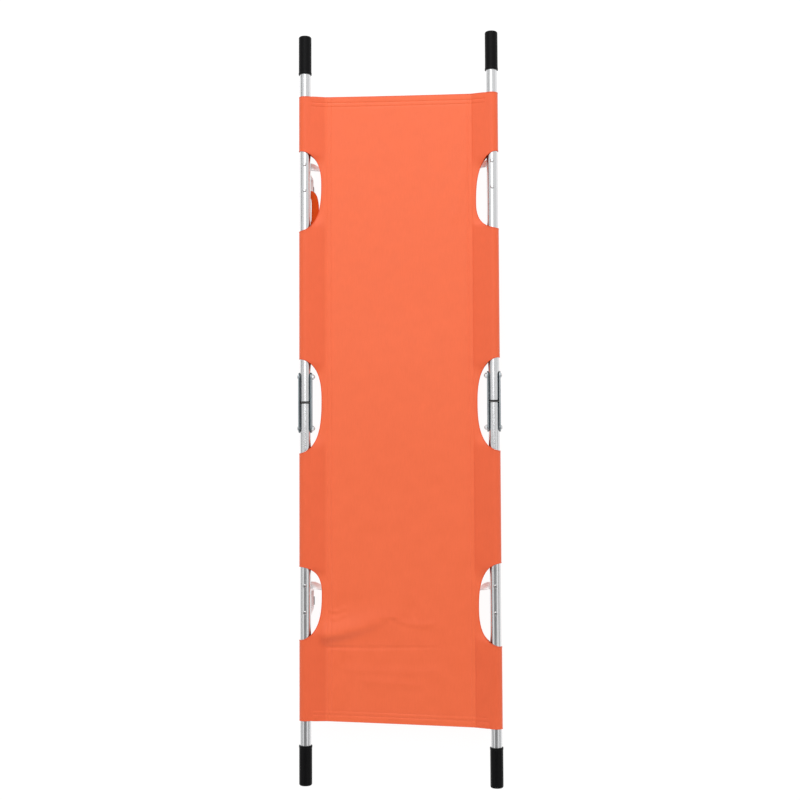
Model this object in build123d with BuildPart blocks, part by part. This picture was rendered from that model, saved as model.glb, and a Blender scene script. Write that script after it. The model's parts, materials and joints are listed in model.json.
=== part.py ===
"""Folding stretcher: two hinged aluminium poles, two folding spreaders and a fabric bed.

X runs across the bed, +Y towards the head, Z up. The origin is on the floor, below the middle
of the stretcher's length. Sizes are in millimetres.
"""

import os
from math import cos, radians, sin

from build123d import *

# Overall layout
POLE_SPACING = 515.0
HEAD_REACH = 1016.5  # from the fold line to the outer end of a head grip
FOOT_REACH = 1033.5  # from the fold line to the outer end of a foot grip
AXIS_Z = 105.0  # height of the poles' centre lines above the floor
FOLD_Y = (FOOT_REACH - HEAD_REACH) / 2

# Poles and grips
POLE_RADIUS = 15.0
POLE_WALL = 1.5
TUBE_START = 3.3  # from the fold line to a tube's inner end
GRIP_LENGTH = 107.0
GRIP_RADIUS = 17.5
GRIP_LIP = 0.6
GRIP_LIP_LENGTH = 5.0
GRIP_LIP_TAPER = 2.0
GRIP_ROUND = 5.0
GRIP_END_WALL = 6.0
TUBE_END_GAP = 0.5  # between a tube's end and the bottom of its grip
FIT = 0.05  # radial clearance of pins, sleeves of rubber and riveted pieces

# Middle hinge of each pole
LINK_PIVOT = 70.5  # from the fold line to a pivot bolt
LINK_WIDTH = 24.0
LINK_THICKNESS = 3.0
LINK_CHAMFER = 0.6
LINK_GAP = 0.35  # between a tube's side and a link plate
BOLT_RADIUS = 4.0
BOLT_HEAD_RADIUS = 7.0
BOLT_HEAD_FLAT = 2.0
BOLT_HEAD_HEIGHT = 4.2
NUT_FLATS = 13.0
NUT_HEIGHT = 5.0
NUT_DOME_RADIUS = 5.6
NUT_DOME_FLAT = 0.8
NUT_DOME_HEIGHT = 3.6
BUSH_RADIUS = 6.0
BUSH_LENGTH = 23.6
PLUG_SPIGOT = 22.0
PLUG_FACE_RADIUS = LINK_PIVOT - 0.2  # of the plug's end face, about its pivot

# Legs, riveted under the poles
LEG_CENTRE = {"head": 620.0, "foot": -534.0}  # from the fold line to the middle of two rivets
RIVET_HALF_PITCH = 36.0
RIVET_RADIUS = 3.0
RIVET_HEAD_RADIUS = 5.4
RIVET_HEAD_FLAT = 2.6
RIVET_HEAD_HEIGHT = 2.2
STRIP_WIDTH = 18.0
STRIP_THICKNESS = 3.0
STRIP_BEND = 5.0
FLANGE_TOP = -POLE_RADIUS - FIT  # heights from here on are from the pole's axis
SOLE_TOP = -98.0
SOLE_START, SOLE_STOP = 16.0, -31.0  # the sole's two bends, along the pole from the leg's middle
FLANGE_START, FLANGE_STOP = 48.0, -22.0  # the flanges' free ends
UPPER_BENDS = 19.0, -52.0
PAD_WIDTH = 20.6
PAD_LIP = 2.5
PAD_START, PAD_STOP = -2.0, -26.0
PAD_ROUND = 2.0

# Folding spreaders
ARM_WIDTH = 20.0
ARM_THICKNESS = 3.5
ARM_GAP = 0.35
ARM_TOP = FLANGE_TOP - STRIP_THICKNESS - ARM_GAP
ARM_FLAT = 14.0
TWIST_LENGTH = 36.0
TIP_TWIST_START = 147.0
TIP_FLAT_START = 182.0
TWIST_STEPS = 4
PIN_HEAD_RADIUS = 6.0
PIN_HEAD_FLAT = 3.0

# Fabric
CLOTH_FOLD = 1.4  # thickness of the hem pocket's wall on a pole
CLOTH_GAP = 0.3
BED_THICKNESS = 2.0
BED_HEAD_END = 845.0  # from the fold line
BED_FOOT_END = -867.0
BED_HALF_WIDTH = POLE_SPACING / 2 - POLE_RADIUS - CLOTH_FOLD - 2 * CLOTH_GAP
POCKET_EDGE = POLE_SPACING / 2 + POLE_RADIUS
CUTOUTS = {"head": (582.0, 113.0), "middle": (-12.0, 132.0), "foot": (-547.0, 113.5)}
CUTOUT_DEPTH = 61.0

# Tie loop below the bed, beside the left head pole
LOOP_START = (-246.0, 592.0)  # across, and from the fold line
LOOP_BULGE = (-219.0, 548.0)
LOOP_HOLLOW = (-237.0, 545.0)
LOOP_STOP = (-246.0, 486.0)
LOOP_THICKNESS = 2.0
LOOP_HEIGHT = -21.0

SIDES = {"left": -1, "right": 1}
ENDS = {"head": 1, "foot": -1}
REACH = {"head": HEAD_REACH, "foot": FOOT_REACH}


def pole_x(side):
    """The X of a pole's centre line."""
    return SIDES[side] * POLE_SPACING / 2


def along(side, end):
    """A level plane through a pole's axis: Y runs outwards along the pole from the fold line."""
    return Plane(origin=(pole_x(side), FOLD_Y, AXIS_Z), x_dir=(ENDS[end], 0, 0), z_dir=(0, 0, 1))


def upright(x, y):
    """An upright plane facing +X at x, with Y and height measured from the fold line and the axis."""
    return Plane(origin=(x, FOLD_Y + y, AXIS_Z), x_dir=(0, 1, 0), z_dir=(1, 0, 0))


def pole_axis(side):
    return Axis((pole_x(side), FOLD_Y, AXIS_Z), (0, 1, 0))


def rivet_spots(end):
    """Distances from the fold line of an end's two rivets, the spreader's one first."""
    return [LEG_CENTRE[end] + RIVET_HALF_PITCH, LEG_CENTRE[end] - RIVET_HALF_PITCH]


def save(builder, name):
    builder.part.label = name
    export_step(builder.part, f"parts/{name}.step")


def make_tube(side, end):
    """Pole half: a drawn tube, drilled across for its pivot bolt and downwards for two rivets."""
    with BuildPart() as tube:
        start = FOLD_Y + ENDS[end] * TUBE_START
        face = Plane(origin=(pole_x(side), start, AXIS_Z), z_dir=(0, ENDS[end], 0))
        with BuildSketch(face):
            Circle(POLE_RADIUS)
            Circle(POLE_RADIUS - POLE_WALL, mode=Mode.SUBTRACT)
        extrude(amount=REACH[end] - GRIP_END_WALL - TUBE_END_GAP - TUBE_START)
        with Locations(upright(pole_x(side), ENDS[end] * LINK_PIVOT)):
            Hole(BOLT_RADIUS + FIT)
        for spot in rivet_spots(end):
            with Locations((pole_x(side), FOLD_Y + spot, AXIS_Z)):
                Hole(RIVET_RADIUS + FIT)
    save(tube, f"tube_{side}_{end}")


def make_grip(side, end):
    """Rubber grip: a closed sleeve with a rounded end and a lip at its mouth."""
    tip = REACH[end]
    mouth = tip - GRIP_LENGTH
    round_start = (GRIP_RADIUS, tip - GRIP_ROUND)
    round_stop = (GRIP_RADIUS - GRIP_ROUND, tip)
    with BuildPart() as grip:
        with BuildSketch(along(side, end)):
            with BuildLine():
                Polyline(
                    (0, tip - GRIP_END_WALL),
                    (POLE_RADIUS + FIT, tip - GRIP_END_WALL),
                    (POLE_RADIUS + FIT, mouth),
                    (GRIP_RADIUS + GRIP_LIP, mouth),
                    (GRIP_RADIUS + GRIP_LIP, mouth + GRIP_LIP_LENGTH),
                    (GRIP_RADIUS, mouth + GRIP_LIP_LENGTH + GRIP_LIP_TAPER),
                    round_start,
                )
                RadiusArc(round_start, round_stop, -GRIP_ROUND)
                Polyline(round_stop, (0, tip), (0, tip - GRIP_END_WALL))
            make_face()
        revolve(axis=pole_axis(side))
    save(grip, f"grip_{side}_{end}")


def make_plug(side, end):
    """Black end plug: its rounded face rolls past the other half's plug as the pole folds."""
    spigot = POLE_RADIUS - POLE_WALL - 2 * FIT
    with BuildPart() as plug:
        with BuildSketch(along(side, end)):
            with BuildLine():
                Polyline(
                    (0, 0),
                    (POLE_RADIUS, 0),
                    (POLE_RADIUS, TUBE_START),
                    (spigot, TUBE_START),
                    (spigot, TUBE_START + PLUG_SPIGOT),
                    (0, TUBE_START + PLUG_SPIGOT),
                    close=True,
                )
            make_face()
        revolve(axis=pole_axis(side))
        with BuildSketch(upright(pole_x(side) - POLE_RADIUS, ENDS[end] * LINK_PIVOT)):
            Circle(PLUG_FACE_RADIUS)
        extrude(amount=2 * POLE_RADIUS, mode=Mode.INTERSECT)
    save(plug, f"end_plug_{side}_{end}")


def make_bush(side, end):
    """Steel spacer inside the tube, which keeps the pivot bolt from crushing it."""
    with BuildPart() as bush:
        with BuildSketch(upright(pole_x(side) - BUSH_LENGTH / 2, ENDS[end] * LINK_PIVOT)):
            Circle(BUSH_RADIUS)
            Circle(BOLT_RADIUS + FIT, mode=Mode.SUBTRACT)
        extrude(amount=BUSH_LENGTH)
    save(bush, f"pivot_bush_{side}_{end}")


def make_leg(side, end):
    """Leg: one flat strip bent down, along the floor and back up to the pole."""
    near_bend, far_bend = UPPER_BENDS
    with BuildPart() as leg:
        with BuildSketch(upright(pole_x(side) - STRIP_WIDTH / 2, LEG_CENTRE[end])):
            with BuildLine():
                FilletPolyline(
                    (FLANGE_START, FLANGE_TOP),
                    (near_bend, FLANGE_TOP),
                    (SOLE_START, SOLE_TOP),
                    (SOLE_STOP, SOLE_TOP),
                    (far_bend, FLANGE_TOP - STRIP_THICKNESS),
                    (FLANGE_STOP, FLANGE_TOP - STRIP_THICKNESS),
                    radius=STRIP_BEND,
                )
                offset(amount=STRIP_THICKNESS, side=Side.RIGHT)
            make_face()
        extrude(amount=STRIP_WIDTH)
        for spot in rivet_spots(end):
            with Locations((pole_x(side), FOLD_Y + spot, AXIS_Z + FLANGE_TOP)):
                Cylinder(RIVET_RADIUS + FIT, 3 * STRIP_THICKNESS, mode=Mode.SUBTRACT)
    save(leg, f"leg_bracket_{side}_{end}")


def make_pad(side, end):
    """Rubber foot: a channel that clips over the leg's sole."""
    sole = SOLE_TOP - STRIP_THICKNESS
    with BuildPart() as pad:
        with BuildSketch(
            Plane(
                origin=(pole_x(side), FOLD_Y + LEG_CENTRE[end] + PAD_START, 0),
                x_dir=(1, 0, 0),
                z_dir=(0, -1, 0),
            )
        ):
            Rectangle(PAD_WIDTH, AXIS_Z + sole + PAD_LIP, align=(Align.CENTER, Align.MIN))
            with Locations((0, AXIS_Z + sole - FIT)):
                Rectangle(
                    STRIP_WIDTH + 2 * FIT,
                    2 * PAD_LIP,
                    align=(Align.CENTER, Align.MIN),
                    mode=Mode.SUBTRACT,
                )
        extrude(amount=PAD_START - PAD_STOP)
        outer_uprights = pad.edges().filter_by(Axis.Z).group_by(SortBy.LENGTH)[-1]
        fillet(outer_uprights, radius=PAD_ROUND)
    save(pad, f"foot_pad_{side}_{end}")


def button(radius, flat, height):
    """Profile of a rounded head with a flat top: half of it, standing on the X axis."""
    rounding = ((radius - flat) ** 2 + height**2) / (2 * height)
    with BuildLine() as outline:
        Line((0, 0), (radius, 0))
        RadiusArc((radius, 0), (flat, height), -rounding)
        Line((flat, height), (0, height))
        Line((0, height), (0, 0))
    make_face(outline.edges())


def make_rivets(side, end):
    """Two rivets down through the pole: both hold the leg, and one is the spreader's pivot."""
    with BuildPart() as rivets:
        for spot, tail in zip(
            rivet_spots(end),
            (ARM_TOP - ARM_THICKNESS - ARM_GAP, FLANGE_TOP - STRIP_THICKNESS - FIT),
        ):
            x, y = pole_x(side), FOLD_Y + spot
            with BuildSketch(Plane((x, y, AXIS_Z + tail))):
                Circle(RIVET_RADIUS)
            extrude(amount=POLE_RADIUS + FIT - tail)
            for height, facing in ((POLE_RADIUS + FIT, -1), (tail, 1)):
                plane = Plane((x, y, AXIS_Z + height), x_dir=(1, 0, 0), z_dir=(0, facing, 0))
                with BuildSketch(plane):
                    button(RIVET_HEAD_RADIUS, RIVET_HEAD_FLAT, RIVET_HEAD_HEIGHT)
                revolve(axis=Axis((x, y, 0), (0, 0, 1)))
    save(rivets, f"rivets_{side}_{end}")


def make_link_plate(side, place):
    """One of the two plates that carry a pole's double pivot."""
    inner_face = POLE_RADIUS + LINK_GAP
    towards = SIDES[side] * (1 if place == "outer" else -1)
    x = pole_x(side) + towards * (inner_face + LINK_THICKNESS / 2) - LINK_THICKNESS / 2
    with BuildPart() as plate:
        with BuildSketch(upright(x, 0)):
            SlotCenterToCenter(2 * LINK_PIVOT, LINK_WIDTH)
            with Locations((-LINK_PIVOT, 0), (LINK_PIVOT, 0)):
                Circle(BOLT_RADIUS + FIT, mode=Mode.SUBTRACT)
        extrude(amount=LINK_THICKNESS)
        rims = plate.faces().sort_by(Axis.X)[-1 if towards > 0 else 0].outer_wire().edges()
        chamfer(rims, length=LINK_CHAMFER)
    save(plate, f"link_plate_{side}_{place}")


def make_bolts(side):
    """The two pivot bolts of a pole, with round heads on the outside."""
    out = SIDES[side]
    head_x = pole_x(side) + out * (POLE_RADIUS + LINK_GAP + LINK_THICKNESS)
    length = 2 * (POLE_RADIUS + LINK_GAP + LINK_THICKNESS) + NUT_HEIGHT
    with BuildPart() as bolts:
        for end in ENDS:
            y = FOLD_Y + ENDS[end] * LINK_PIVOT
            with BuildSketch(Plane((head_x, y, AXIS_Z), x_dir=(0, 1, 0), z_dir=(-out, 0, 0))):
                Circle(BOLT_RADIUS)
            extrude(amount=length)
            with BuildSketch(Plane((head_x, y, AXIS_Z), x_dir=(0, 0, 1), z_dir=(0, out, 0))):
                button(BOLT_HEAD_RADIUS, BOLT_HEAD_FLAT, BOLT_HEAD_HEIGHT)
            revolve(axis=Axis((head_x, y, AXIS_Z), (1, 0, 0)))
    save(bolts, f"pivot_bolts_{side}")


def make_nuts(side):
    """The two domed nuts on a pole's inner side."""
    inward = -SIDES[side]
    face_x = pole_x(side) + inward * (POLE_RADIUS + LINK_GAP + LINK_THICKNESS)
    cap_x = face_x + inward * NUT_HEIGHT
    with BuildPart() as nuts:
        for end in ENDS:
            y = FOLD_Y + ENDS[end] * LINK_PIVOT
            with BuildSketch(Plane((face_x, y, AXIS_Z), x_dir=(0, 1, 0), z_dir=(inward, 0, 0))):
                RegularPolygon(NUT_FLATS / 2, 6, major_radius=False)
                Circle(BOLT_RADIUS + FIT / 2, mode=Mode.SUBTRACT)
            extrude(amount=NUT_HEIGHT)
            with BuildSketch(Plane((cap_x, y, AXIS_Z), x_dir=(0, 0, 1), z_dir=(0, inward, 0))):
                button(NUT_DOME_RADIUS, NUT_DOME_FLAT, NUT_DOME_HEIGHT)
            revolve(axis=Axis((cap_x, y, AXIS_Z), (1, 0, 0)))
    save(nuts, f"pivot_nuts_{side}")


def arm_stations(tip_top):
    """Sections of a spreader arm: (distance from the pole's pivot, turn, offset in Y, height).

    The flat bar turns on edge about its footward edge, leans back to the pivots' line, and
    turns flat again for the centre pin, with its top face at tip_top.
    """
    half, thick = ARM_WIDTH / 2, ARM_THICKNESS / 2
    stations = []
    for step in range(TWIST_STEPS + 1):
        turn = 90 * step / TWIST_STEPS
        rise, run = sin(radians(turn)), cos(radians(turn))
        shift = -half + half * run - thick * rise
        drop = ARM_TOP - half * rise - thick * run
        stations.append((ARM_FLAT + TWIST_LENGTH * step / TWIST_STEPS, turn, shift, drop))
    low, high = ARM_TOP - half, tip_top - thick
    for step in range(TWIST_STEPS + 1):
        part = step / TWIST_STEPS
        reach = TIP_TWIST_START + (TIP_FLAT_START - TIP_TWIST_START) * part
        stations.append((reach, 90 * (1 - part), 0, low + (high - low) * part))
    return stations


def make_arm(side, end):
    """Spreader arm: a flat steel bar from a pole's rivet to the centre pin."""
    out, pivot = SIDES[side], rivet_spots(end)[0]
    tip_top = ARM_TOP if side == "left" else ARM_TOP - ARM_THICKNESS - ARM_GAP
    length = POLE_SPACING / 2
    with BuildPart() as arm:
        for reach, turn, shift, height in arm_stations(tip_top):
            with BuildSketch(upright(out * (length - reach), pivot + shift)):
                with Locations((0, height)):
                    Rectangle(ARM_WIDTH, ARM_THICKNESS, rotation=-turn)
        loft(ruled=True)
        for centre, start, stop, top in (
            (length, 0, ARM_FLAT, ARM_TOP),
            (0, TIP_FLAT_START, length, tip_top),
        ):
            middle = out * (length - (start + stop) / 2)
            with BuildSketch(Plane((0, FOLD_Y + pivot, AXIS_Z + top - ARM_THICKNESS))):
                with Locations((middle, 0)):
                    Rectangle(stop - start, ARM_WIDTH)
                with Locations((out * centre, 0)):
                    Circle(ARM_WIDTH / 2)
                    Circle(RIVET_RADIUS + FIT, mode=Mode.SUBTRACT)
            extrude(amount=ARM_THICKNESS)
    save(arm, f"spreader_arm_{side}_{end}")


def make_centre_pin(end):
    """Riveted pin that joins a spreader's two arms."""
    y = FOLD_Y + rivet_spots(end)[0]
    top = ARM_TOP + FIT
    bottom = ARM_TOP - 2 * ARM_THICKNESS - 2 * ARM_GAP
    with BuildPart() as pin:
        with BuildSketch(Plane((0, y, AXIS_Z + bottom))):
            Circle(RIVET_RADIUS)
        extrude(amount=top - bottom)
        for height, facing in ((top, -1), (bottom, 1)):
            plane = Plane((0, y, AXIS_Z + height), x_dir=(1, 0, 0), z_dir=(0, facing, 0))
            with BuildSketch(plane):
                button(PIN_HEAD_RADIUS, PIN_HEAD_FLAT, RIVET_HEAD_HEIGHT)
            revolve(axis=Axis((0, y, 0), (0, 0, 1)))
    save(pin, f"centre_pin_{end}")


def cutout_edges(end):
    """The pocket's two stretches on one pole half, as (nearer, further) from the fold line."""
    middle, middle_half = CUTOUTS["middle"]
    centre, half = CUTOUTS[end]
    out = ENDS[end]
    bed_end = BED_HEAD_END if end == "head" else -BED_FOOT_END
    near_stop = out * middle + middle_half
    return [(near_stop, out * centre - half), (out * centre + half, bed_end)]


def make_pocket(side, end):
    """The hem pocket's cloth round a pole half, between and beyond the cutouts."""
    with BuildPart() as pocket:
        for near, far in cutout_edges(end):
            start = FOLD_Y + ENDS[end] * near
            face = Plane(origin=(pole_x(side), start, AXIS_Z), z_dir=(0, ENDS[end], 0))
            with BuildSketch(face):
                Circle(POLE_RADIUS + CLOTH_GAP + CLOTH_FOLD)
                Circle(POLE_RADIUS + CLOTH_GAP, mode=Mode.SUBTRACT)
            extrude(amount=far - near)
    save(pocket, f"bed_pocket_{side}_{end}")


def make_bed_zone(name, low, high):
    """The bed's cloth between the pockets, over one stretch of its length."""
    with BuildPart() as bed:
        with BuildSketch(Plane((0, FOLD_Y, AXIS_Z - BED_THICKNESS / 2))):
            with Locations((0, (low + high) / 2)):
                Rectangle(2 * BED_HALF_WIDTH, high - low)
            for centre, half in CUTOUTS.values():
                for x, turn in ((-POCKET_EDGE, 0), (POCKET_EDGE, 180)):
                    with Locations((x, centre)):
                        Ellipse(CUTOUT_DEPTH, half, rotation=turn, mode=Mode.SUBTRACT)
        extrude(amount=BED_THICKNESS)
    save(bed, name)


def make_tie_loop():
    """Webbing loop sewn below the bed, curving out beside the left head pole."""
    with BuildPart() as loop:
        with BuildSketch(Plane((0, FOLD_Y, AXIS_Z + LOOP_HEIGHT))):
            with BuildLine():
                ThreePointArc(LOOP_START, LOOP_BULGE, LOOP_STOP)
                ThreePointArc(LOOP_STOP, LOOP_HOLLOW, LOOP_START)
            make_face()
        extrude(amount=LOOP_THICKNESS)
    save(loop, "tie_loop")


os.makedirs("parts", exist_ok=True)

for side in SIDES:
    for end in ENDS:
        make_tube(side, end)
        make_grip(side, end)
        make_plug(side, end)
        make_bush(side, end)
        make_leg(side, end)
        make_pad(side, end)
        make_rivets(side, end)
        make_arm(side, end)
        make_pocket(side, end)
    for place in ("outer", "inner"):
        make_link_plate(side, place)
    make_bolts(side)
    make_nuts(side)

for end in ENDS:
    make_centre_pin(end)

HINGE_SETBACK = BED_THICKNESS / 2 + CLOTH_GAP
make_bed_zone("bed_head", LINK_PIVOT + HINGE_SETBACK, BED_HEAD_END)
make_bed_zone("bed_middle", -LINK_PIVOT + HINGE_SETBACK, LINK_PIVOT - HINGE_SETBACK)
make_bed_zone("bed_foot", BED_FOOT_END, -LINK_PIVOT - HINGE_SETBACK)
make_tie_loop()
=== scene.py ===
import json
from math import ceil, cos, pi, radians, sin

import bpy
import numpy as np
from mathutils import Euler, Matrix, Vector
from mathutils.geometry import delaunay_2d_cdt


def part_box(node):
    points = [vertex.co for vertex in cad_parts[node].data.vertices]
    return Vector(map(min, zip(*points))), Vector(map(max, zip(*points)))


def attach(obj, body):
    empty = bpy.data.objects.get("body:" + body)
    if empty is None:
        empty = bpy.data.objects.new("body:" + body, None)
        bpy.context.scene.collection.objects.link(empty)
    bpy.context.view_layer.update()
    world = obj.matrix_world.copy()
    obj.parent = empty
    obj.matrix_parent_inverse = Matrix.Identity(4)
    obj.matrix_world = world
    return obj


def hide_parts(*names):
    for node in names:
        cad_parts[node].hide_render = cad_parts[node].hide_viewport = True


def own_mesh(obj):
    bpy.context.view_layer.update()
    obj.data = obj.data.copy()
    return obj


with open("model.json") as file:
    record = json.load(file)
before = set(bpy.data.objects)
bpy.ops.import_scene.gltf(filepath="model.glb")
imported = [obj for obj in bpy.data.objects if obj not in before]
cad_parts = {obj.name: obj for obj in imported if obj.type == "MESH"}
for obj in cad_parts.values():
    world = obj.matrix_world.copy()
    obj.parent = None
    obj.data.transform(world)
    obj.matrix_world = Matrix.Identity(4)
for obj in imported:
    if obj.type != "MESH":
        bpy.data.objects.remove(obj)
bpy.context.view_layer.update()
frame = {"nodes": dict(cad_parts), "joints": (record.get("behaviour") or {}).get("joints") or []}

# The stretcher's looks: a stretched cloth bed in seven pieces that follow the poles' bodies, its
# sewing, a webbing loop, and materials for every part. Lengths are in metres.

scene = bpy.context.scene

# ---------------------------------------------------------------- places taken from the frame

tube_low, tube_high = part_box("tube_left_head")
AXIS_Z = (tube_low.z + tube_high.z) / 2
POLE_RADIUS = (tube_high.z - tube_low.z) / 2
POLE_X = -(tube_low.x + tube_high.x) / 2
pivot_y = {joint["name"]: joint["pos_m"][1] for joint in frame["joints"]}
FOLD_Y = (pivot_y["length_fold"] + pivot_y["length_fold_left_foot"]) / 2
HINGE = (pivot_y["length_fold"] - pivot_y["length_fold_left_foot"]) / 2
SIDES = {"left": -1, "right": 1}

# ---------------------------------------------------------------- the cloth's cut and folds
# "Along" is the distance from the fold line towards the head. "Across" is measured on the flat
# cloth from its middle line. "Wrap" is the distance on the cloth from a pole's outermost line.

CLOTH = 0.0008
POCKET_RADIUS = POLE_RADIUS + 0.0014
SEAM_INBOARD = 0.0575  # from a pole's axis to the line where the pocket's layers meet
SEAM_X = POLE_X - SEAM_INBOARD
SLOPE = np.arcsin(POCKET_RADIUS / SEAM_INBOARD)
ARC_WRAP = POCKET_RADIUS * (pi / 2 + SLOPE)
SEAM_WRAP = ARC_WRAP + SEAM_INBOARD * cos(SLOPE)
SPLIT_INBOARD = 0.0165  # from a pole's axis to where the pocket piece ends and the bed piece starts


def wrap_at(inboard):
    """Wrap of a place between the pole and the seam, by its distance from the pole's axis."""
    return ARC_WRAP + (inboard - POCKET_RADIUS * sin(SLOPE)) / cos(SLOPE)


SPLIT_WRAP = wrap_at(SPLIT_INBOARD)
SPLIT_ACROSS = SEAM_X + SEAM_WRAP - SPLIT_WRAP
LAYER_GAP = 0.00095  # from the upper layer to the turned-in layer below it
TURN_IN = 0.0150  # how far the lower layer runs on beyond the seam

HEAD_EDGE = 0.845
FOOT_EDGE = -0.8675
FOOT_SLANT = -0.033  # the foot edge is cut slightly out of square
HEM = 0.028
HEM_ROLL = 0.0015  # over this length the hem's double cloth thins to a single layer
CUTOUT_EDGE_X = 0.212  # how far the cutouts' deepest places are from the middle line
CUTOUT_POWER = 2.5  # 2 gives a cutout elliptic ends, and more gives squarer ones
# Each cutout: its far end, its near end and its deepest place along the bed.
CUTOUTS = {
    "left": [(0.695, 0.470, 0.600), (0.120, -0.140, 0.005), (-0.445, -0.645, -0.520)],
    "right": [(0.685, 0.470, 0.545), (0.120, -0.135, -0.005), (-0.435, -0.660, -0.555)],
}
CUT_SHUT = 0.14  # how far the pocket's layers stay apart beside a cutout, as a share
CUT_SHUT_FROM, CUT_SHUT_OVER = 0.92, 0.30  # and where along a cutout they close

# The sewing: where its lines run, and the grooves that they press into the cloth
SEAM_STITCHES = (-0.1976, -0.1865, 0.1919, 0.2028)  # X of the lines along the pockets
HEM_STITCHES = (0.016, 0.027)  # distance in from the bed's head and foot edges
CUT_STITCHES = 0.0055  # distance in from a cutout's edge
STITCH_END = 0.004  # a line along a pocket stops this far from the edge
SEAM_GROOVE, SEAM_GROOVE_WIDTH = 0.0007, 0.0015
HEM_GROOVE, HEM_GROOVE_WIDTH = 0.0009, 0.0017
SEAM_STEPS = (-0.0024, -0.0012, 0, 0.0012, 0.0024)  # mesh lines that hold a groove
HEM_STEPS = (-0.0022, -0.001, 0, 0.001, 0.0022)
CUT_BEAD = 0.0012  # radius of the rolled edge round a cutout
END_BEAD = 0.0011  # radius of the rolled edge at the head and the foot

# The surface between the seams, and how fine its mesh is
SAG = 0.0025
RIPPLE = 0.00016
GRID = 0.0062
FINE_GRID = 0.0042
FINE_BELOW = -0.53  # the rows are finer from here to the foot, where the wrinkles are
LOWER_GRID = 0.008
POCKET_GRID = 0.003
POCKET_ROWS = 0.0075
CLEAR = 0.0016  # grid points keep this far from every line
BED_COLUMNS_TO = 0.182
BAND_COLUMNS = (0.0062, 0.011, 0.017, 0.023, 0.030, 0.038)  # distance beyond the seam
HEM_ROWS_TO = 0.236
CUT_POINTS, CUT_BEAD_POINTS, TIP_BEAD_POINTS = 150, 110, 240  # along a cutout's edge
CLOTH_SLOTS = {"cloth": 0, "rim": 1, "thread": 2}  # the order of a cloth piece's materials

# Wrinkles as ridges: height at the first and at the last point, width towards the head and towards
# the foot, and points as X and along in millimetres.
RIDGES = [
    (
        0.0125, 0.0020, 0.034, 0.0160,
        [(-210, -634), (-155, -624), (-110, -612), (-70, -596), (-45, -588)],
    ),
    (0.0011, 0.0008, 0.016, 0.0075, [(-40, -586), (-22, -581), (-4, -578)]),
    (0.0012, 0.0012, 0.010, 0.0065, [(-8, -590), (20, -600), (62, -606), (85, -600)]),
    (-0.0026, -0.0006, 0.0022, 0.0032, [(-200, -664), (-81, -665), (40, -663), (110, -662)]),
    (0.0016, 0.0012, 0.005, 0.0032, [(-190, -566), (-168, -568), (-150, -558)]),
    (0.0014, 0.0012, 0.005, 0.0035, [(-182, -588), (-168, -585), (-152, -577)]),
    (0.0012, 0.0010, 0.014, 0.0110, [(-136, -726), (-20, -729), (89, -728)]),
    (0.0010, 0.0010, 0.014, 0.0110, [(-105, -751), (-20, -760), (51, -767)]),
    (-0.0008, -0.0008, 0.004, 0.0040, [(-138, -640), (-137, -722), (-136, -826)]),
    (0.0012, 0.0012, 0.005, 0.0050, [(-186, -471), (-184, -513), (-182, -556)]),
    (-0.0008, -0.0008, 0.004, 0.0040, [(38, -500), (40, -540), (40, -585)]),
    (0.0009, 0.0009, 0.008, 0.0080, [(189, 668), (172, 590), (153, 498)]),
]


def smooth(t):
    t = np.clip(t, 0, 1)
    return t * t * (3 - 2 * t)


def reach_in(cutout, along):
    """How far along a cutout a place is, from 0 at its deepest place to 1 at an end."""
    far, near, deepest = cutout
    ahead = (along - deepest) / (far - deepest)
    behind = (deepest - along) / (deepest - near)
    return np.where(along > deepest, ahead, behind)


def cut_wrap(side, along):
    """Wrap of a side's cut edge at each point along the bed, 0 where the pocket is whole."""
    edge = np.zeros_like(along)
    depth = wrap_at(POLE_X - CUTOUT_EDGE_X)
    for cutout in CUTOUTS[side]:
        reach = np.clip(reach_in(cutout, along), 0, 1)
        edge = np.maximum(edge, depth * (1 - reach**CUTOUT_POWER) ** (1 / CUTOUT_POWER))
    return edge


def lift(side, along):
    """How far the pocket's layers stand apart: 1 over the pole, little beside a cutout."""
    share = np.ones_like(along)
    for cutout in CUTOUTS[side]:
        t = reach_in(cutout, along)
        closed = smooth((CUT_SHUT_FROM - t) / CUT_SHUT_OVER)
        share = np.where(t < 1, 1 - (1 - CUT_SHUT) * closed, share)
    return share


def both_sides(function, across, along):
    return np.where(across < 0, function("left", along), function("right", along))


def wrapped(wrap):
    """Distance inboard of the pole's axis, and height above it, on the upper layer."""
    angle = np.minimum(np.abs(wrap), ARC_WRAP) / POCKET_RADIUS
    down = np.maximum(np.abs(wrap) - ARC_WRAP, 0)
    inboard = -POCKET_RADIUS * np.cos(angle) + down * cos(SLOPE)
    height = POCKET_RADIUS * np.sin(angle) - down * sin(SLOPE)
    return inboard, height


def ridge(x, along, first, last, ahead, behind, points):
    """Height of one wrinkle: a bump that follows a line of points."""
    best = np.full(x.shape, 1e9)
    offset = np.zeros(x.shape)
    share = np.zeros(x.shape)
    line = np.array(points, float) / 1000
    for index, (start, stop) in enumerate(zip(line[:-1], line[1:])):
        run = stop - start
        t = np.clip(((x - start[0]) * run[0] + (along - start[1]) * run[1]) / (run @ run), 0, 1)
        dx = x - start[0] - t * run[0]
        dy = along - start[1] - t * run[1]
        distance = np.hypot(dx, dy)
        nearer = distance < best
        best = np.where(nearer, distance, best)
        offset = np.where(nearer, dy, offset)
        share = np.where(nearer, (index + t) / (len(line) - 1), share)
    width = np.where(offset > 0, ahead, behind)
    return (first + (last - first) * share) * np.exp(-((best / width) ** 2))


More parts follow.
